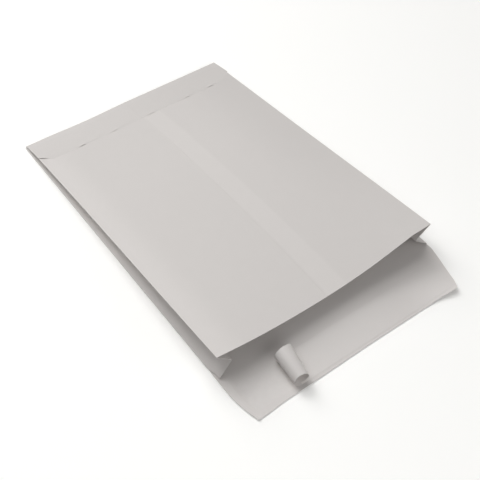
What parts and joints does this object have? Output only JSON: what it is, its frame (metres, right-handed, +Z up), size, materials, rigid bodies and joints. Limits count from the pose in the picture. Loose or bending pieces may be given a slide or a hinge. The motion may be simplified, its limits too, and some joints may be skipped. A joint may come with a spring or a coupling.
{
  "type": "gusseted envelope",
  "caption": "Side-gusseted pocket envelope for A4 sheets, lying with its mouth open, with a glued closed end and a peel-and-seal closure flap whose release liner is partly curled off.",
  "frame": {"origin": "centre of the front panel's outer face, on the surface that the envelope lies on", "axes": "+Y from the open mouth to the closed end, +Z up through the back panel, +X across the envelope to the right of someone looking from the mouth to the closed end"},
  "size_m": [0.2339, 0.3716, 0.027],
  "materials": {
    "paper": "matte",
    "dry_glue": "satin",
    "adhesive": "gloss",
    "liner": "satin"
  },
  "bodies": {
    "front": {"front_panel": "paper", "gusset_left_front_web": "paper", "gusset_left_back_web": "paper", "gusset_right_front_web": "paper", "gusset_right_back_web": "paper"},
    "back": {"back_panel_left": "paper", "back_panel_right": "paper", "seam_glue": "dry_glue", "end_flap": "paper", "end_flap_glue": "dry_glue"},
    "flap": {"closure_flap": "paper", "adhesive_strip": "adhesive"},
    "liner": {"release_liner": "liner"}
  },
  "joints": [
    {"name": "mouth_open", "type": "hinge", "parent": "front", "child": "back", "pos_m": [0, 0.1609, 0.0011], "axis": [-1, 0, 0], "range_deg": [-2.6, 1.9], "deforming": ["gusset_left_front_web", "gusset_left_back_web", "gusset_right_front_web", "gusset_right_back_web"]},
    {"name": "flap_fold", "type": "hinge", "parent": "front", "child": "flap", "pos_m": [0, -0.16215, 0.0001], "axis": [-0.9998, 0.0188, 0], "range_deg": [0, 90], "deforming": ["release_liner"]},
    {"name": "liner_peel", "type": "slide", "parent": "flap", "child": "liner", "axis": [0.9995, -0.0188, 0.0262], "range_m": [0, 0.18]}
  ]
}
